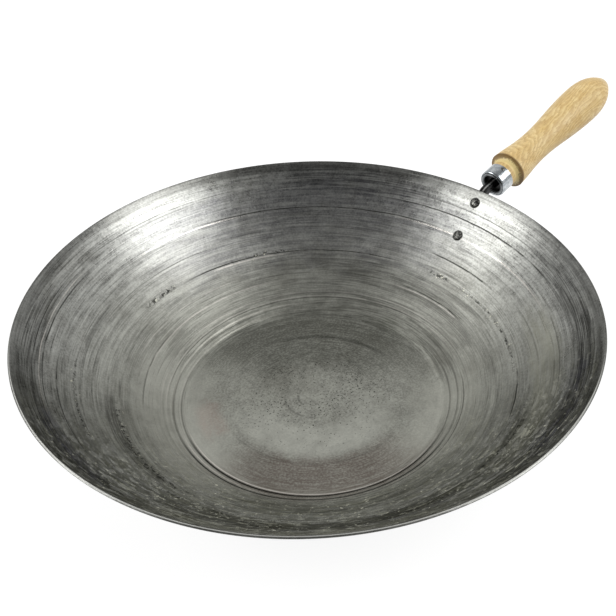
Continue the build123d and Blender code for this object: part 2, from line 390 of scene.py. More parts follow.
def hairlines_effect():
    """Thin lines along the turn: the middle value of noise that is squeezed across them and almost
    constant round the turn. A second noise leaves stretches of each line out."""
    group, given, result = effect(
        "hairlines",
        {"Place": ORIGIN, "Spacing": 0.004, "Sweep": 3.0, "Width": 0.03, "Seed": 0.0},
        {"Lines": "Float"})
    across = calc(group, "DIVIDE", 1.0, given["Spacing"])
    shift = vector(group, given["Seed"], given["Seed"], given["Seed"])
    scale = vector(group, 0.12, 0.12, across)
    place = vector_calc(group, "ADD", vector_times(group, given["Place"], scale), shift)
    ridge = distance_from(group, noise(group, place, 1.0, 1.0), 0.5)
    line = step(group, ridge, given["Width"], 0.0)
    across = times(group, across, 0.7)
    scale = vector(group, given["Sweep"], given["Sweep"], across)
    place = vector_calc(group, "ADD", vector_times(group, given["Place"], scale), shift)
    present = step(group, noise(group, place, 1.0, 3.0, 0.6), 0.47, 0.60)
    group.links.new(times(group, line, present), result["Lines"])
    return group


def pits_effect():
    """Small dark pits where fine noise passes a threshold, gathered in patches."""
    group, given, result = effect(
        "pits", {"Position": ORIGIN, "Size": 0.001, "Threshold": 0.68, "Patch": 0.03},
        {"Pits": "Float"})
    fine = noise(group, given["Position"], calc(group, "DIVIDE", 1.0, given["Size"]), 1.0)
    patch = noise(group, given["Position"], calc(group, "DIVIDE", 1.0, given["Patch"]), 2.0)
    level = calc(group, "SUBTRACT", given["Threshold"],
                 times(group, calc(group, "SUBTRACT", patch, 0.5), 0.25))
    group.links.new(step(group, fine, level, calc(group, "ADD", level, 0.05)), result["Pits"])
    return group


def clouds_effect():
    """Soft patches of stain or wear."""
    group, given, result = effect(
        "clouds", {"Position": ORIGIN, "Size": 0.02, "From": 0.4, "To": 0.65, "Seed": 0.0},
        {"Cloud": "Float"})
    shift = vector(group, given["Seed"], 0.0, given["Seed"])
    place = vector_calc(group, "ADD", given["Position"], shift)
    cloud = noise(group, place, calc(group, "DIVIDE", 1.0, given["Size"]), 4.0, 0.6)
    group.links.new(step(group, cloud, given["From"], given["To"]), result["Cloud"])
    return group


def scratches_effect():
    """Thin straight scratches: the middle value of noise that is stretched along the Angle."""
    group, given, result = effect(
        "scratches",
        {"Position": ORIGIN, "Length": 0.03, "Spacing": 0.004, "Angle": 0.0,
         "Width": 0.02},
        {"Scratch": "Float"})
    turn = vector(group, 0.0, 0.0, given["Angle"])
    turned = add(group, "Mapping", given["Position"], None, turn).outputs[0]
    along = calc(group, "DIVIDE", 1.0, given["Length"])
    across = calc(group, "DIVIDE", 1.0, given["Spacing"])
    scale = vector(group, along, across, across)
    place = vector_times(group, turned, scale)
    ridge = distance_from(group, noise(group, place, 1.0, 1.0), 0.5)
    line = step(group, ridge, given["Width"], 0.0)
    elsewhere = vector_calc(group, "ADD", place, (5.0, 5.0, 5.0))
    present = step(group, noise(group, elsewhere, 0.6), 0.55, 0.66)
    group.links.new(times(group, line, present), result["Scratch"])
    return group


turned_place = turned_place_effect()
turned_lines = turned_lines_effect()
hairlines = hairlines_effect()
pits = pits_effect()
clouds = clouds_effect()
scratches = scratches_effect()


# ---------------- materials

def new_material(name, **values):
    """Material with one Principled shader, its tree and the shader's sockets. The values given here
    hold for the whole surface."""
    material = bpy.data.materials.new(name)
    material.use_nodes = True
    tree = material.node_tree
    shader = tree.nodes["Principled BSDF"]
    feed(tree, shader.inputs, **values)
    return material, tree, shader.inputs


def bump(tree, distance, height):
    return add(tree, "Bump", 1.0, distance, None, height).outputs[0]


def weighted_sum(tree, *terms):
    """Sum of (value, weight) pairs."""
    total = None
    for value, weight in terms:
        part = times(tree, value, weight)
        total = part if total is None else calc(tree, "ADD", total, part)
    return total


# Painted shade and painted highlights on the sides of the double ring's grooves, dark lines that
# spinning left on the bowl's inner face, with painted shade at the dish's step, and bright lines
# of painted highlight: radius, half width, the bearing of their middle in degrees from +X, half
# the angle that they run round, and strength
RING_SHADE = (
    (0.0876, 0.0010, -134, 125, 0.45),
    (0.0873, 0.0018, -136, 66, 1.00),
    (0.0924, 0.0010, -134, 125, 0.45),
    (0.0923, 0.0018, -136, 66, 1.00),
)
RING_HIGHLIGHTS = (
    (0.0859, 0.0009, -138, 62, 0.70),
    (0.0902, 0.0011, -138, 62, 0.90),
    (0.0951, 0.0010, -138, 62, 0.55),
)
DARK_MARKS = (
    (0.0110, 0.0015, 150, 60, 0.60),
    (0.0200, 0.0014, -170, 60, 0.30),
    # Painted shade at the dish's step
    (0.0612, 0.0030, 29, 33, 0.46),
    (0.0612, 0.0018, -140, 55, 0.17),
    (0.0962, 0.0008, -95, 55, 0.70),
    (0.0962, 0.0007, 60, 70, 0.50),
    (0.0990, 0.0006, 10, 50, 0.40),
    (0.1100, 0.0008, 124, 20, 0.50),
    (0.1133, 0.0009, -4, 13, 0.75),
    (0.1133, 0.0009, 40, 26, 0.45),
    (0.1278, 0.0008, 51, 34, 0.95),
    (0.1305, 0.0010, -66, 14, 1.00),
    (0.1388, 0.0008, -7, 12, 0.85),
    (0.1395, 0.0006, 96, 22, 0.45),
    (0.1530, 0.0007, 40, 32, 1.00),
    (0.1540, 0.0009, 160, 20, 0.90),
    (0.1540, 0.0008, -61, 22, 0.50),
    (0.1612, 0.0008, 136, 24, 0.90),
    (0.1612, 0.0008, -4, 28, 0.95),
    (0.1660, 0.0006, 101, 40, 0.55),
    (0.1660, 0.0006, -2, 22, 0.55),
)
# Bright lines along the turn: painted highlights
BRIGHT_MARKS = (
    (0.0885, 0.0009, 90, 60, 0.10),
    (0.0930, 0.0009, 90, 60, 0.12),
    (0.0970, 0.0008, 60, 90, 0.18),
    (0.1000, 0.0007, 60, 90, 0.15),
    (0.1095, 0.0009, 91, 32, 0.30),
    (0.1120, 0.0008, -4, 16, 0.25),
    (0.1165, 0.0007, 96, 24, 0.25),
    (0.1265, 0.0010, 64, 12, 0.55),
    (0.1522, 0.0009, -9, 26, 0.50),
    (0.1522, 0.0008, 78, 16, 0.50),
    (0.1628, 0.0006, 136, 24, 0.45),
)

MARK_WANDER = 0.0012  # how far a mark strays across the turn

# Stretches of torn metal on the wall: radius, bearing of their middle, half angle and half width
TORN_STRETCHES = (
    (0.1285, 98, 6, 0.0024),
    (0.1285, 58, 7, 0.0020),
    (0.1285, -1, 4, 0.0024),
    (0.1285, -30, 20, 0.0014),
    (0.1235, 160, 12, 0.0022),
    (0.1250, 179, 15, 0.0052),
    (0.1340, -164, 12, 0.0052),
    (0.1450, 152, 14, 0.0016),
    (0.1400, -84, 12, 0.0034),
    (0.1460, -120, 34, 0.0040),
)

BESIDE_TORN = (0.0050, 0.0015)  # distances between which the specks beside them come in

# Bearings of parts of the wall, in degrees from +X
NEAR_WALL = -130
FAR_WALL = 20
HIGHLIGHT_EDGE = -140

# Radii of the inner face between which a change comes in
WALL_STARTS = (0.076, 0.088)
WALL_TONE = (0.090, 0.172)
NEAR_WALL_FOOT = (0.094, 0.102)
NEAR_WALL_RIM = (0.1765, 0.1750)
SPECKS_END = (0.175, 0.172)
RIM_SHADED = (0.1715, 0.1735)
SOOT_STARTS = (0.115, 0.150)
ROUGHER_FOOT = (0.160, 0.098)

# Distances along the outline or from a rivet's seat between which a change comes in
PITTED_FLOOR = (0.030, 0.066)
RIVET_SHADE_AND_DIRT = (0.0043, 0.0035)
EDGE_PLACE = 0.0004  # of the painted highlight's middle on the cut edge, past the rim's radius
EDGE_HALF_WIDTHS = (0.0005, 0.0001)

FLOOR_DARK, FLOOR_LIGHT = colour(134, 134, 127), colour(196, 197, 187)
WALL_DARK, WALL_LIGHT = colour(60, 60, 57), colour(203, 204, 199)
BROAD_STAIN = colour(90, 88, 78)
RIM_SHADE = colour(54, 54, 52)
PAINTED_HIGHLIGHT_LINE = colour(236, 230, 222)
RUBBED_PATCH = colour(176, 176, 158)
SOOT = colour(20, 20, 16)
BARE_DASH = colour(164, 164, 146)
DIRT_AND_SHADE = colour(24, 24, 20)
SPECK = colour(214, 213, 196)
BARE_STEEL_AND_HIGHLIGHT = colour(190, 190, 186)

# Stains on the inner face, and the dish's painted shade and painted reflection: bearing in
# degrees from +X, half angle, radius, half width, strength and colour
STAINS_AND_PAINTED_DISH = {
    "seasoned_near": (-134, 36, 0.144, 0.014, 0.85, (34, 34, 27)),
    "seasoned_rim_right": (-70, 48, 0.167, 0.009, 0.80, (48, 48, 46)),
    "seasoned_rim_left": (160, 42, 0.168, 0.009, 0.72, (48, 48, 46)),
    "olive_right": (-66, 30, 0.147, 0.012, 0.70, (180, 180, 166)),
    "seasoned_rim_far": (31, 18, 0.168, 0.011, 0.66, (50, 50, 53)),
    "dull_foot_far": (46, 95, 0.108, 0.022, 0.42, (91, 91, 86)),
    "dull_foot_right": (0, 30, 0.098, 0.020, 0.40, (91, 91, 86)),
    "bare_foot_left": (154, 38, 0.093, 0.029, 0.45, (212, 212, 202)),
    "bare_foot_right": (-68, 30, 0.088, 0.024, 0.40, (213, 213, 202)),
    "seasoned_foot": (-124, 36, 0.110, 0.012, 0.55, (61, 61, 50)),
    "olive_near": (-134, 32, 0.163, 0.011, 0.45, (145, 145, 122)),
    "blue_right": (-76, 14, 0.165, 0.007, 0.55, (72, 72, 89)),
    "blue_left": (172, 13, 0.164, 0.007, 0.55, (72, 72, 89)),
    "dull_foot_near_handle": (8, 28, 0.117, 0.014, 0.52, (84, 84, 79)),
    "dull_ring_right": (-9, 34, 0.089, 0.008, 0.50, (80, 80, 75)),
    "violet_far": (46, 50, 0.145, 0.034, 0.35, (100, 99, 110)),
    "brown_near": (-130, 48, 0.0745, 0.020, 0.68, (104, 90, 82)),
    # Painted shade on the dish's far side and painted reflection on its near side
    "dish_shade_far": (42, 62, 0.062, 0.036, 0.70, (87, 88, 80)),
    "dish_reflection_near": (-134, 80, 0.042, 0.014, 0.36, (224, 225, 215)),
    "rosy_left": (150, 14, 0.070, 0.009, 0.35, (187, 165, 155)),
    "smudge_left": (166, 20, 0.127, 0.005, 0.60, (56, 56, 52)),
    "smudge_right": (-84, 12, 0.139, 0.005, 0.60, (56, 56, 50)),
}


def towards(tree, direction, bearing):
    """Cosine of the angle round the turn from a bearing in degrees."""
    target = (cos(radians(bearing)), sin(radians(bearing)), 0.0)
    return measure(tree, "DOT_PRODUCT", direction, target)


def stretch_of(tree, facing, half_angle, fade):
    """Fade round the turn between two shares of half an angle, the outer one first."""
    return step(tree, facing, *(cos(radians(half_angle * share)) for share in fade))


def turned_marks(tree, table, direction, run, run_at):
    """Lines along the turn that fade out at both ends."""
    marks = []
    for radius, width, bearing, half_angle, strength in table:
        line = step(tree, distance_from(tree, run, run_at(radius)), width, 0.0, 0.0, strength)
        stretch = stretch_of(tree, towards(tree, direction, bearing), half_angle, (1.2, 0.7))
        marks.append(times(tree, line, stretch))
    return most(tree, *marks)


def steel_marks(tree, place, direction, run, run_at):
    """Masks of the dark and bright lines along the turn, with breaks in them, and the run that the
    lines on the wall follow, which wanders a little."""
    breaks = noise(tree, vector_times(tree, place, (7.0, 7.0, 60.0)), 1.0, 3.0, 0.6)
    wandered = calc(tree, "ADD", run, times(tree, calc(tree, "SUBTRACT", breaks, 0.5), MARK_WANDER))
    dark = times(tree, turned_marks(tree, DARK_MARKS, direction, wandered, run_at),
                 step(tree, breaks, 0.34, 0.48, 0.35, 1.0))
    bright = times(tree, turned_marks(tree, BRIGHT_MARKS, direction, wandered, run_at),
                   step(tree, breaks, 0.64, 0.50, 0.35, 1.0))
    # Painted shade and painted highlights on the double ring's sides, without breaks
    dark = most(tree, dark, turned_marks(tree, RING_SHADE, direction, run, run_at))
    bright = most(tree, bright, turned_marks(tree, RING_HIGHLIGHTS, direction, run, run_at))
    return dark, bright, wandered


def torn_metal(tree, direction, run, run_at):
    """Masks of the torn stretches themselves and of the wider bands beside them."""
    lines, bands = [], []
    for radius, bearing, half_angle, half_width in TORN_STRETCHES:
        from_line = distance_from(tree, run, run_at(radius))
        stretch = stretch_of(tree, towards(tree, direction, bearing), half_angle, (1.3, 0.6))
        lines.append(times(tree, step(tree, from_line, half_width, half_width * 0.25), stretch))
        bands.append(times(tree, step(tree, from_line, *BESIDE_TORN), stretch))
    return most(tree, *lines), most(tree, *bands)


def lay_stains_and_painted_tones(tree, steel, direction, run, ragged, cover, run_at):
    """Lay stains and the dish's painted shade and reflection over a colour, each at its own bearing
    and radius, with ragged edges.
    """
    for bearing, half_angle, radius, half_width, strength, tint in STAINS_AND_PAINTED_DISH.values():
        facing = calc(tree, "ADD", towards(tree, direction, bearing), times(tree, ragged, 0.12))
        near = stretch_of(tree, facing, half_angle, (1.25, 0.5))
        distance = calc(tree, "ADD", distance_from(tree, run, run_at(radius)),
                        times(tree, ragged, half_width))
        inside = step(tree, distance, half_width * 1.25, half_width * 0.5, 0.0, strength)
        amount = times(tree, times(tree, near, inside), cover)
        steel = mix(tree, amount, steel, colour(*tint))
    return steel


def carbon_steel(run_at):
    """Spun steel: turning lines, forming marks, torn metal, pits and stains on a warm grey, with
    painted shade and highlights in the double ring, on the dish, round the rivets and on the rim's
    edge.
    """
    # Specular Tint keeps the worn metal dull where it is seen at a slant
    material, tree, shader = new_material("carbon_steel", Anisotropic=0.2, Specular_IOR_Level=0.0,
                                          Specular_Tint=(0.45, 0.45, 0.43, 1.0))
    position = add(tree, "TexCoord").outputs["Object"]
    run = add(tree, "Attribute", attribute_name="run").outputs["Fac"]
    place = use(tree, turned_place, Position=position, Run=run)
    x, y, _ = add(tree, "SeparateXYZ", place).outputs
    direction = vector(tree, x, y, 0.0)

    def up_wall(radii, start=0.0, end=1.0):
        """Smooth change from start to end between two radii of the inner face."""
        return step(tree, run, run_at(radii[0]), run_at(radii[1]), start, end)

    wall = up_wall(WALL_STARTS)
    near = times(tree, step(tree, towards(tree, direction, NEAR_WALL), 0.1, 0.85),
                 times(tree, up_wall(NEAR_WALL_FOOT), up_wall(NEAR_WALL_RIM)))

    # What the finish is made of: streaks along the turn, grain, pits and scratches
    fine = use(tree, turned_lines, Place=place, Pitch=0.0007, Sweep=5.0, Seed=3.0)
    middle = use(tree, turned_lines, Place=place, Pitch=0.0024, Sweep=3.5, Seed=11.0)
    dashes = use(tree, turned_lines, Place=place, Pitch=0.0011, Sweep=7.0, Seed=41.0)
    soot = use(tree, turned_lines, Place=place, Pitch=0.0042, Sweep=20.0, Seed=71.0)
    rubbed = use(tree, turned_lines, Place=place, Pitch=0.0034, Sweep=26.0, Seed=83.0)
    hair = use(tree, hairlines, Place=place, Spacing=0.0036, Sweep=4.0, Width=0.03, Seed=23.0)
    mottle = use(tree, clouds, Position=position, Size=0.009, From=0.32, To=0.68, Seed=1.0)
    grain = use(tree, clouds, Position=position, Size=0.0014, From=0.31, To=0.69, Seed=2.0)
    stain = use(tree, clouds, Position=position, Size=0.035, From=0.45, To=0.7, Seed=4.0)
    small_pits = use(tree, pits, Position=position, Size=0.0012, Threshold=0.66, Patch=0.025)
    scratch = use(tree, scratches, Position=position, Length=0.03, Spacing=0.005, Angle=0.6,
                  Width=0.012)
    ragged = calc(tree, "SUBTRACT", noise(tree, position, 90.0, 4.0, 0.65), 0.5)
    dark_marks, bright_marks, wandered = steel_marks(tree, place, direction, run, run_at)

    # Stretches of torn metal, with bare specks beside them
    gouges, beside = torn_metal(tree, direction, wandered, run_at)
    gouges = times(tree, step(tree, noise(tree, position, 420.0, 4.0, 0.75), 0.500, 0.560), gouges)
    scrapes = noise(tree, vector_calc(tree, "ADD", position, (3.0, 3.0, 3.0)), 430.0, 1.0)
    scrapes = times(tree, scrapes, up_wall(SPECKS_END))
    specks = times(tree, step(tree, scrapes, 0.67, 0.74), most(tree, beside, near))
    specks = times(tree, specks, 0.80)

    # Floor and wall tones: cloudy, and streaked where the wall is brushed
    streaks = weighted_sum(tree, (fine, 0.62), (middle, 0.38))
    cloudy = weighted_sum(tree, (grain, 0.42), (mottle, 0.26), (middle, 0.20), (1.0, 0.06))
    low_cloudy = weighted_sum(tree, (grain, 0.50), (fine, 0.20), (mottle, 0.30))
    facing = towards(tree, direction, FAR_WALL)
    brushed = times(tree, wall, step(tree, facing, 0.2, 0.9, 0.46, 0.32))
    brushed = most(tree, brushed, times(tree, near, 0.75))
    tone = mix_values(tree, brushed, mix_values(tree, wall, low_cloudy, cloudy), streaks)
    steel = mix(tree, up_wall(WALL_TONE), mix(tree, tone, FLOOR_DARK, FLOOR_LIGHT),
                mix(tree, tone, WALL_DARK, WALL_LIGHT))

    # Stains and the dish's painted tones are thinner over the lighter streaks of the wall and the
    # lighter grain of the floor
    light_grain = weighted_sum(tree, (grain, 0.25), (fine, 0.35), (1.0, 0.15))
    lighter = mix_values(tree, wall, light_grain, streaks)
    cover = step(tree, lighter, 0.30, 0.65, 1.0, 0.55)
    steel = lay_stains_and_painted_tones(tree, steel, direction, run, ragged, cover, run_at)
    steel = mix(tree, times(tree, stain, 0.25), steel, BROAD_STAIN)
    steel = mix(tree, up_wall(RIM_SHADED, 0.0, 0.45), steel, RIM_SHADE)
    # Painted highlights along the turn and on the double ring's inner sides
    steel = mix(tree, bright_marks, steel, PAINTED_HIGHLIGHT_LINE)

    # The near wall is sooty in short patches, with lighter rubbed ones between
    sooty = times(tree, near, up_wall(SOOT_STARTS, 0.35, 1.0))
    rubbed = times(tree, step(tree, rubbed, 0.60, 0.95, 0.0, 0.26), sooty)
    steel = mix(tree, rubbed, steel, RUBBED_PATCH)
    soot = times(tree, step(tree, soot, 0.45, 0.85), sooty)
    steel = mix(tree, times(tree, soot, 0.55), steel, SOOT)
    bare_dashes = times(tree, step(tree, dashes, 0.45, 0.10, 0.0, 0.55), near)
    steel = mix(tree, bare_dashes, steel, BARE_DASH)
    near_dashes = times(tree, step(tree, dashes, 0.55, 0.90), near)

    # Pits gather in the middle of the floor, and painted contact shade and dirt round the rivets'
    # heads
    pitted = times(tree, small_pits, step(tree, run, *PITTED_FLOOR, 0.80, 0.04))
    rivet_shade_and_dirt = [step(tree, measure(tree, "DISTANCE", position, rivet_seat(from_rim)[0]),
                         *RIVET_SHADE_AND_DIRT, 0.0, 0.7) for from_rim in RIVETS_FROM_RIM]
    # Dirt, pits and torn metal, with painted shade in the double ring, at the dish's step and round
    # the rivets
    dirt_and_shade = most(tree, dark_marks, pitted, *rivet_shade_and_dirt, times(tree, gouges, 0.85),
                times(tree, near_dashes, 0.45), times(tree, hair, times(tree, wall, 0.35)))
    steel = mix(tree, dirt_and_shade, steel, DIRT_AND_SHADE)
    steel = mix(tree, specks, steel, SPECK)
    steel = mix(tree, times(tree, scratch, 0.25), steel, BARE_STEEL_AND_HIGHLIGHT)

    # A painted highlight along the inner side of the rim's cut edge, on the near side
    edge = step(tree, distance_from(tree, run, run_at(RIM_RADIUS) + EDGE_PLACE), *EDGE_HALF_WIDTHS)
    edge = times(tree, edge, step(tree, towards(tree, direction, HIGHLIGHT_EDGE), 0.1, 0.5))
    steel = mix(tree, edge, steel, BARE_STEEL_AND_HIGHLIGHT)

    # Soot, dirt, rust dust, the painted shade of the dark lines and the painted highlight on the
    # rim's edge are not metal, so they keep their tone where they are seen at a slant
    dust_and_painted_light = most(tree, times(tree, soot, 0.85), times(tree, specks, 0.40),
                weighted_sum(tree, (dark_marks, 0.50), (edge, 0.30)),
                times(tree, near_dashes, 0.55))

    rough = weighted_sum(tree, (fine, 0.05), (mottle, 0.05), (grain, 0.02), (dirt_and_shade, 0.20),
                         (bright_marks, -0.15), (edge, 0.40), (soot, 0.35))
    rough = calc(tree, "ADD", rough, up_wall(ROUGHER_FOOT, 0.235, 0.43))
    dents = noise(tree, position, 110.0, 2.0, 0.55)
    height = weighted_sum(tree, (dents, 10.0), (fine, 0.25), (middle, 0.38), (grain, 0.36),
                          (small_pits, -1.0))

    # The turned lines scatter light up and down the wall, so the rough direction points outwards.
    # The floor keeps the straight grain of the rolled sheet.
    tangent = add(tree, "Mix", wall, data_type="VECTOR")
    give(tree, tangent.inputs[4], (cos(SHEET_GRAIN), sin(SHEET_GRAIN), 0.0))
    give(tree, tangent.inputs[5], vector_calc(tree, "NORMALIZE", direction))
    feed(tree, shader, Base_Color=steel, Metallic=step(tree, dust_and_painted_light, 0.0, 1.0, 1.0, 0.0),
         Roughness=rough, Normal=bump(tree, 0.000015, height), Tangent=tangent.outputs[1])
    return material


BLACK_SCALE, WORN_SCALE = colour(22, 22, 23), colour(44, 43, 42)
SCALE_PIT = colour(16, 15, 15)
BAR_HIGHLIGHT = colour(186, 186, 183)
BAR_LINE_ASIDE = -0.0004  # place of the painted highlight line across the bar
BAR_LINE_HALF_WIDTHS = (0.0008, 0.0003)
BAR_TOP = (0.0012, 0.0022)  # heights over the bar's middle where the line comes in


def black_steel():
    """Forged bracket under black scale, with a painted highlight line along the top of the stem."""
    material, tree, shader = new_material("black_steel", Metallic=0.85)
    position = add(tree, "TexCoord").outputs["Object"]
    scale = use(tree, clouds, Position=position, Size=0.0025, From=0.35, To=0.7, Seed=2.0)
    dents = noise(tree, position, 320.0, 3.0, 0.55)
    small_pits = use(tree, pits, Position=position, Size=0.0006, Threshold=0.66, Patch=0.01)
    paint = mix(tree, scale, BLACK_SCALE, WORN_SCALE)
    paint = mix(tree, times(tree, small_pits, 0.6), paint, SCALE_PIT)
    # A painted highlight line along the top of the stem
    _, aside, upright = add(tree, "SeparateXYZ", handle_place(tree, position)).outputs
    rubbed = step(tree, distance_from(tree, aside, BAR_LINE_ASIDE), *BAR_LINE_HALF_WIDTHS)
    rubbed = times(tree, rubbed, step(tree, upright, *BAR_TOP))
    paint = mix(tree, times(tree, rubbed, 0.9), paint, BAR_HIGHLIGHT)
    height = weighted_sum(tree, (dents, 1.0), (scale, 0.3), (small_pits, -0.4))
    feed(tree, shader, Base_Color=paint, Normal=bump(tree, 0.00010, height),
         Roughness=weighted_sum(tree, (scale, 0.14), (dents, 0.42)))
    return material


RIVET_DARK, RIVET_LIGHT = colour(56, 56, 54), colour(170, 170, 164)
RIVET_EDGE_SHADE_AND_GRIME = colour(24, 24, 23)
RIVET_EDGE = (0.0024, 0.0035)  # radii of the head between which the painted shade and grime come in


def rivet_steel(name, centre, outwards):
    """Hammered rivet head with painted shade and grime round its edge. centre is on the wall under
    the head.
    """
    material, tree, shader = new_material(name, Metallic=1.0)
    position = add(tree, "TexCoord").outputs["Object"]
    offset = vector_calc(tree, "SUBTRACT", position, tuple(centre))
    sideways = vector_calc(tree, "CROSS_PRODUCT", offset, tuple(outwards))
    edge = step(tree, measure(tree, "LENGTH", sideways), *RIVET_EDGE)
    hammer = noise(tree, position, 1100.0, 3.0, 0.6)
    scale = use(tree, clouds, Position=position, Size=0.0014, From=0.4, To=0.65, Seed=6.0)
    steel = mix(tree, scale, RIVET_DARK, RIVET_LIGHT)
    # Painted shade and grime round the head's edge
    steel = mix(tree, times(tree, edge, 0.85), steel, RIVET_EDGE_SHADE_AND_GRIME)
    feed(tree, shader, Base_Color=steel, Normal=bump(tree, 0.00035, hammer),
         Roughness=weighted_sum(tree, (scale, 0.10), (edge, 0.25), (hammer, 0.50)))
    return material


def handle_place(tree, position):
    """Position from the ferrule's mouth, with X along the handle."""
    offset = vector_calc(tree, "SUBTRACT", position, tuple(mouth))
    return add(tree, "Mapping", offset, None, (0.0, HANDLE_RISE, 0.0)).outputs[0]


PLATE, RUBBED_PLATE = colour(158, 164, 168), colour(200, 204, 206)
PLATE_PIT = colour(110, 112, 112)
CUP_INSIDE_SHADE = colour(60, 60, 60)
LIP_GROOVE_SHADE = colour(38, 39, 40)
CUP_INSIDE = (0.0096, 0.0072)  # radii between which the painted shade inside the cup comes in
CUP_WALL = (0.0098, 0.0095)  # and the same behind the lip
BEHIND_LIP = (0.0006, 0.0010)  # distances from the mouth
LIP_GROOVE_RADIUS = 0.0091
LIP_GROOVE_HALF_WIDTHS = (0.0005, 0.0001)
LIP_GROOVE_END = (0.0012, 0.0008)  # distances from the mouth where the painted shade in the lip's groove ends


def plated_steel():
    """Bright plating over pressed steel, with faint press lines, rubbed patches, and painted shade
    inside the cup and in the lip's groove.
    """
    material, tree, shader = new_material("plated_steel", Metallic=1.0)
    position = add(tree, "TexCoord").outputs["Object"]
    along, aside, upright = add(tree, "SeparateXYZ", handle_place(tree, position)).outputs
    flat = vector(tree, aside, upright, 0.0)
    radius = measure(tree, "LENGTH", flat)
    turned = use(tree, turned_place, Position=flat, Run=along)
    lines = use(tree, turned_lines, Place=turned, Pitch=0.0004, Sweep=5.0, Seed=2.0)
    rubbed = use(tree, clouds, Position=position, Size=0.004, From=0.4, To=0.7, Seed=8.0)
    small_pits = use(tree, pits, Position=position, Size=0.0005, Threshold=0.72, Patch=0.006)
    # Painted shade inside the cup, behind the lip and in the lip's groove
    behind_lip_shade = times(tree, step(tree, radius, *CUP_WALL), step(tree, along, *BEHIND_LIP))
    inside = most(tree, step(tree, radius, *CUP_INSIDE), behind_lip_shade)
    lip_groove_shade = times(tree, step(tree, distance_from(tree, radius, LIP_GROOVE_RADIUS), *LIP_GROOVE_HALF_WIDTHS),
                 step(tree, along, *LIP_GROOVE_END))
    plate = mix(tree, rubbed, PLATE, RUBBED_PLATE)
    plate = mix(tree, times(tree, small_pits, 0.5), plate, PLATE_PIT)
    plate = mix(tree, times(tree, inside, 0.8), plate, CUP_INSIDE_SHADE)
    plate = mix(tree, times(tree, lip_groove_shade, 0.85), plate, LIP_GROOVE_SHADE)
    rough = weighted_sum(tree, (lines, 0.05), (rubbed, 0.08), (inside, 0.20))
    height = weighted_sum(tree, (lines, 0.6), (small_pits, -1.0))
    feed(tree, shader, Base_Color=plate, Roughness=calc(tree, "ADD", 0.10, rough),
         Normal=bump(tree, 0.00001, height))
    return material


# The wood's colours
PALE_WOOD, WARM_WOOD = colour(244, 218, 158), colour(228, 196, 130)
RING_WOOD = colour(192, 152, 88)
FIBRE_WOOD = colour(234, 212, 166)
FLECK_WOOD = colour(170, 131, 78)
HANDLED_WOOD = colour(188, 156, 108)
COVE_PAINTED_LIGHT = colour(250, 228, 160)
BURNT_AND_SHADED_LINE = colour(112, 82, 38)
END_WOOD = colour(222, 205, 168)
BORED_END_SHADE = colour(20, 18, 15)

RING_SPACING = 0.0024
PITH_BELOW = 0.034  # from the grip's middle, at the ferrule's mouth
PITH_SLANT_ASIDE = 0.20  # per length along the grip
PITH_SLANT_UP = -0.34
BORED_UNTIL = (0.0075, 0.0055)  # distances from the mouth where the painted shade on the bored end stops


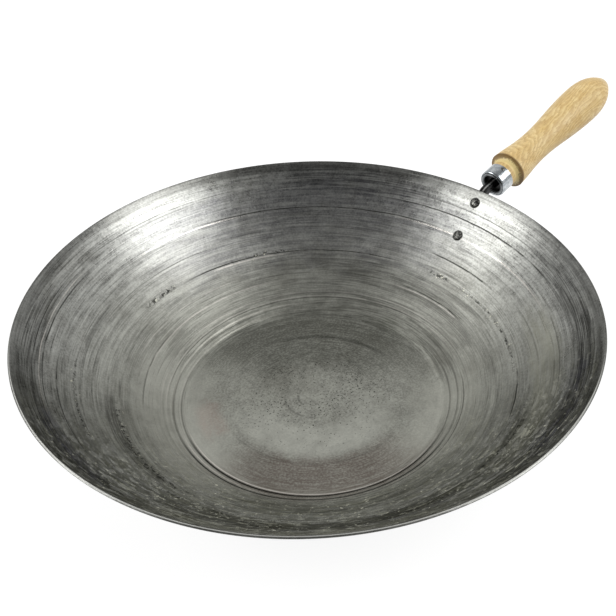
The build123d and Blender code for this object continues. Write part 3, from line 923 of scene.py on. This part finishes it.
def turned_wood():
    """Pale turned hardwood: growth rings round a slanting pith, fibres along the grip and pores."""
    material, tree, shader = new_material("wood", IOR=1.45, Coat_Roughness=0.30)
    position = add(tree, "TexCoord").outputs["Object"]
    place = handle_place(tree, position)
    along, aside, upright = add(tree, "SeparateXYZ", place).outputs

    # Rings about a pith that runs beside the grip and slants across it
    drift = noise(tree, vector_times(tree, place, (22.0, 70.0, 70.0)), 1.0, 3.0, 0.6)
    slant = weighted_sum(tree, (along, PITH_SLANT_ASIDE), (drift, 0.011))
    pith_y = calc(tree, "ADD", aside, slant)
    slant = weighted_sum(tree, (along, PITH_SLANT_UP), (drift, 0.013))
    pith_z = calc(tree, "ADD", upright, calc(tree, "ADD", slant, PITH_BELOW))
    from_pith = measure(tree, "LENGTH", vector(tree, 0.0, pith_y, pith_z))
    phase = calc(tree, "FRACT", calc(tree, "DIVIDE", from_pith, RING_SPACING))
    ring = times(tree, step(tree, phase, 0.0, 0.75), step(tree, phase, 1.0, 0.80))
    fibre = noise(tree, vector_times(tree, place, (70.0, 1300.0, 1300.0)), 1.0, 3.0, 0.6)
    fleck = noise(tree, vector_times(tree, place, (330.0, 1500.0, 1500.0)), 1.0, 1.0, 0.5)
    fleck = step(tree, fleck, 0.58, 0.68)
    patch = use(tree, clouds, Position=position, Size=0.012, From=0.35, To=0.65, Seed=5.0)
    handled = use(tree, clouds, Position=position, Size=0.006, From=0.45, To=0.75, Seed=9.0)

    wood = mix(tree, patch, PALE_WOOD, WARM_WOOD)
    wood = mix(tree, times(tree, ring, 0.50), wood, RING_WOOD)
    wood = mix(tree, step(tree, fibre, 0.45, 0.75, 0.0, 0.30), wood, FIBRE_WOOD)
    wood = mix(tree, times(tree, fleck, 0.45), wood, FLECK_WOOD)
    wood = mix(tree, times(tree, handled, 0.20), wood, HANDLED_WOOD)
    # The cove before the shoulder is painted paler over its shade, a burnt line with painted shade
    # frays out of it, and the bored end inside the ferrule is painted dark as shade
    frayed = calc(tree, "ADD", along, weighted_sum(tree, (fibre, 0.0034), (patch, 0.0010)))
    cove = times(tree, step(tree, along, SHOULDER - 0.0050, SHOULDER - 0.0036),
                 step(tree, along, SHOULDER + 0.0002, SHOULDER - 0.0004))
    wood = mix(tree, times(tree, cove, 0.75), wood, COVE_PAINTED_LIGHT)
    # A burnt line with painted shade at the shoulder, frayed along the fibres
    line = times(tree, step(tree, frayed, SHOULDER + 0.0008, SHOULDER + 0.0018),
                 step(tree, along, SHOULDER + 0.0014, SHOULDER + 0.0005))
    wood = mix(tree, times(tree, line, 0.85), wood, BURNT_AND_SHADED_LINE)
    end_grain = step(tree, along, SHOULDER + 0.90 * GRIP_LENGTH, SHOULDER + GRIP_LENGTH, 0.0, 0.5)
    wood = mix(tree, end_grain, wood, END_WOOD)
    # Painted shade on the bored end inside the ferrule
    wood = mix(tree, step(tree, along, *BORED_UNTIL), wood, BORED_END_SHADE)
    rough = weighted_sum(tree, (fibre, 0.12), (fleck, 0.12), (handled, 0.08))
    height = weighted_sum(tree, (fibre, 0.5), (fleck, -0.6), (ring, -0.3))
    feed(tree, shader, Base_Color=wood, Roughness=calc(tree, "ADD", 0.42, rough),
         Coat_Weight=step(tree, handled, 0.0, 1.0, 0.22, 0.08), Normal=bump(tree, 0.00003, height))
    return material


PIN_DARK, PIN_LIGHT = colour(92, 90, 86), colour(134, 132, 126)


def pin_steel():
    """Dull nail in the ferrule."""
    material, tree, shader = new_material("pin_steel", Metallic=1.0)
    position = add(tree, "TexCoord").outputs["Object"]
    scale = use(tree, clouds, Position=position, Size=0.0008, From=0.35, To=0.7, Seed=3.0)
    feed(tree, shader, Base_Color=mix(tree, scale, PIN_DARK, PIN_LIGHT),
         Roughness=step(tree, scale, 0.0, 1.0, 0.30, 0.50), Normal=bump(tree, 0.00003, scale))
    return material


# ---------------- pieces

# Middle of the ferrule's mouth: from the rim out past the wall, round the knee and along the stem
rim_direction = np.array([cos(rim_slope), 0, sin(rim_slope)])
rim_outwards = np.array([sin(rim_slope), 0, -cos(rim_slope)])
handle_direction = np.array([cos(HANDLE_RISE), 0, sin(HANDLE_RISE)])
knee = (np.array([RIM_RADIUS, 0, RIM_HEIGHT]) + rim_outwards * (BAR_CLEARANCE + BAR_WIDTH / 2)
        + rim_direction * KNEE_PAST_RIM)
mouth = knee + handle_direction * STEM_LENGTH


def rivet_seat(from_rim):
    """Point on the wall's inner face at a distance down from the rim, and the way outwards."""
    slope = rim_slope - from_rim / (WALL_RADIUS + SHEET)
    radius, height = arc(wall_centre, WALL_RADIUS, np.array(slope))
    return (float(radius), 0.0, float(height)), (sin(slope), 0.0, -cos(slope))


def finish(node, material):
    """Give a CAD node's object its material."""
    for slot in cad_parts[node].material_slots:
        slot.material = material


bowl, run_at = make_bowl()
bowl.data.materials.append(carbon_steel(run_at))
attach(bowl, "root")
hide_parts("bowl")

finish("handle_bracket", black_steel())
finish("rivet_upper", rivet_steel("rivet_steel_upper", *rivet_seat(RIVETS_FROM_RIM[0])))
finish("rivet_lower", rivet_steel("rivet_steel_lower", *rivet_seat(RIVETS_FROM_RIM[1])))
finish("ferrule", plated_steel())
finish("grip", turned_wood())
finish("grip_pin", pin_steel())


# ---------------- studio

VIEW_AZIMUTH = radians(-44.0)  # the camera looks along +Y turned by this
VIEW_ELEVATION = radians(37.72)
VIEW_ROLL = radians(2.69)
VIEW_DISTANCE = 0.609  # to the middle of the rim
VIEW_SIDE = 0.0016
VIEW_DOWN = 0.0007
FOCAL_SHARE = 1000 / 616  # focal length over the picture's width
SENSOR = 36.0

# Soft boxes: bearing from the camera's right, elevation, distance, width, height and power
SOFT_BOXES = {
    "soft_box_left": (181.0, 32.0, 2.2, 1.25, 1.1, 23.5),
    "soft_box_right": (-15.0, 41.0, 2.2, 1.15, 1.5, 24.0),
}

STAND_REACH = 8.0
STAND_HEIGHT = -0.0003
STAND_GREY = (0.30, 0.30, 0.30, 1.0)
STAND_GLOW = 0.84  # how white it shows to the camera and in gloss

DARK_SIDE = (0.0, -0.50, 0.87)  # the world's darkest point, with the camera looking along +Y
DARK_SPREAD = (0.20, 0.85)  # cosines from it between which it darkens
WORLD_BRIGHT, WORLD_DARK = 0.78, 0.26


def make_camera():
    turn = Matrix.Rotation(VIEW_AZIMUTH, 3, "Z")
    forward = turn @ Vector((0, cos(VIEW_ELEVATION), -sin(VIEW_ELEVATION)))
    right = turn @ Vector((1, 0, 0))
    down = forward.cross(right)
    rolled_right = right * cos(VIEW_ROLL) + down * sin(VIEW_ROLL)
    rolled_down = down * cos(VIEW_ROLL) - right * sin(VIEW_ROLL)
    place = Vector((0, 0, RIM_HEIGHT)) - forward * VIEW_DISTANCE
    place += rolled_right * VIEW_SIDE + rolled_down * VIEW_DOWN
    data = bpy.data.cameras.new("camera")
    data.sensor_width = SENSOR
    data.lens = FOCAL_SHARE * SENSOR
    camera = bpy.data.objects.new("camera", data)
    axes = Matrix((rolled_right, -rolled_down, -forward)).transposed()
    camera.matrix_world = Matrix.Translation(place) @ axes.to_4x4()
    bpy.context.collection.objects.link(camera)
    bpy.context.scene.camera = camera


def make_soft_box(name, bearing, elevation, distance, width, height, power):
    """Rectangular lamp that faces the bowl."""
    across, up = radians(bearing) + VIEW_AZIMUTH, radians(elevation)
    outwards = Vector((cos(up) * cos(across), cos(up) * sin(across), sin(up)))
    data = bpy.data.lights.new(name, "AREA")
    data.shape = "RECTANGLE"
    data.size, data.size_y = width, height
    data.energy = power
    lamp = bpy.data.objects.new(name, data)
    lamp.location = outwards * distance
    lamp.rotation_euler = outwards.to_track_quat("Z", "Y").to_euler()
    bpy.context.collection.objects.link(lamp)


def make_floor():
    """Pale floor: it takes shadows, and shows as white to the camera and in gloss."""
    corners = np.array([[x * STAND_REACH, y * STAND_REACH, STAND_HEIGHT]
                        for x, y in ((-1, -1), (1, -1), (1, 1), (-1, 1))])
    floor = mesh_object("floor", corners, np.array([[0, 1, 2, 3]]), np.zeros((0, 3), dtype=int))
    material, tree, shader = new_material(
        "floor", Base_Color=STAND_GREY, Roughness=1.0, Specular_IOR_Level=0.0,
        Emission_Color=(1.0, 1.0, 1.0, 1.0))
    paths = add(tree, "LightPath").outputs
    seen = most(tree, paths["Is Camera Ray"], paths["Is Glossy Ray"], paths["Is Transmission Ray"])
    give(tree, shader["Emission Strength"], times(tree, seen, STAND_GLOW))
    floor.data.materials.append(material)


def make_world():
    """White studio round the horizon that darkens towards a point above and behind the camera."""
    world = bpy.data.worlds.new("studio")
    bpy.context.scene.world = world
    world.use_nodes = True
    tree = world.node_tree
    direction = add(tree, "TexCoord").outputs["Generated"]
    dark_side = Matrix.Rotation(VIEW_AZIMUTH, 3, "Z") @ Vector(DARK_SIDE)
    facing = measure(tree, "DOT_PRODUCT", direction, tuple(dark_side.normalized()))
    shade = step(tree, facing, *DARK_SPREAD, WORLD_BRIGHT, WORLD_DARK)
    shade = most(tree, shade, add(tree, "LightPath").outputs["Is Camera Ray"])
    grey = vector(tree, shade, shade, shade)
    give(tree, tree.nodes["Background"].inputs["Color"], grey)


make_camera()
for name, values in SOFT_BOXES.items():
    make_soft_box(name, *values)
make_floor()
make_world()
bpy.context.scene.view_settings.view_transform = "Standard"
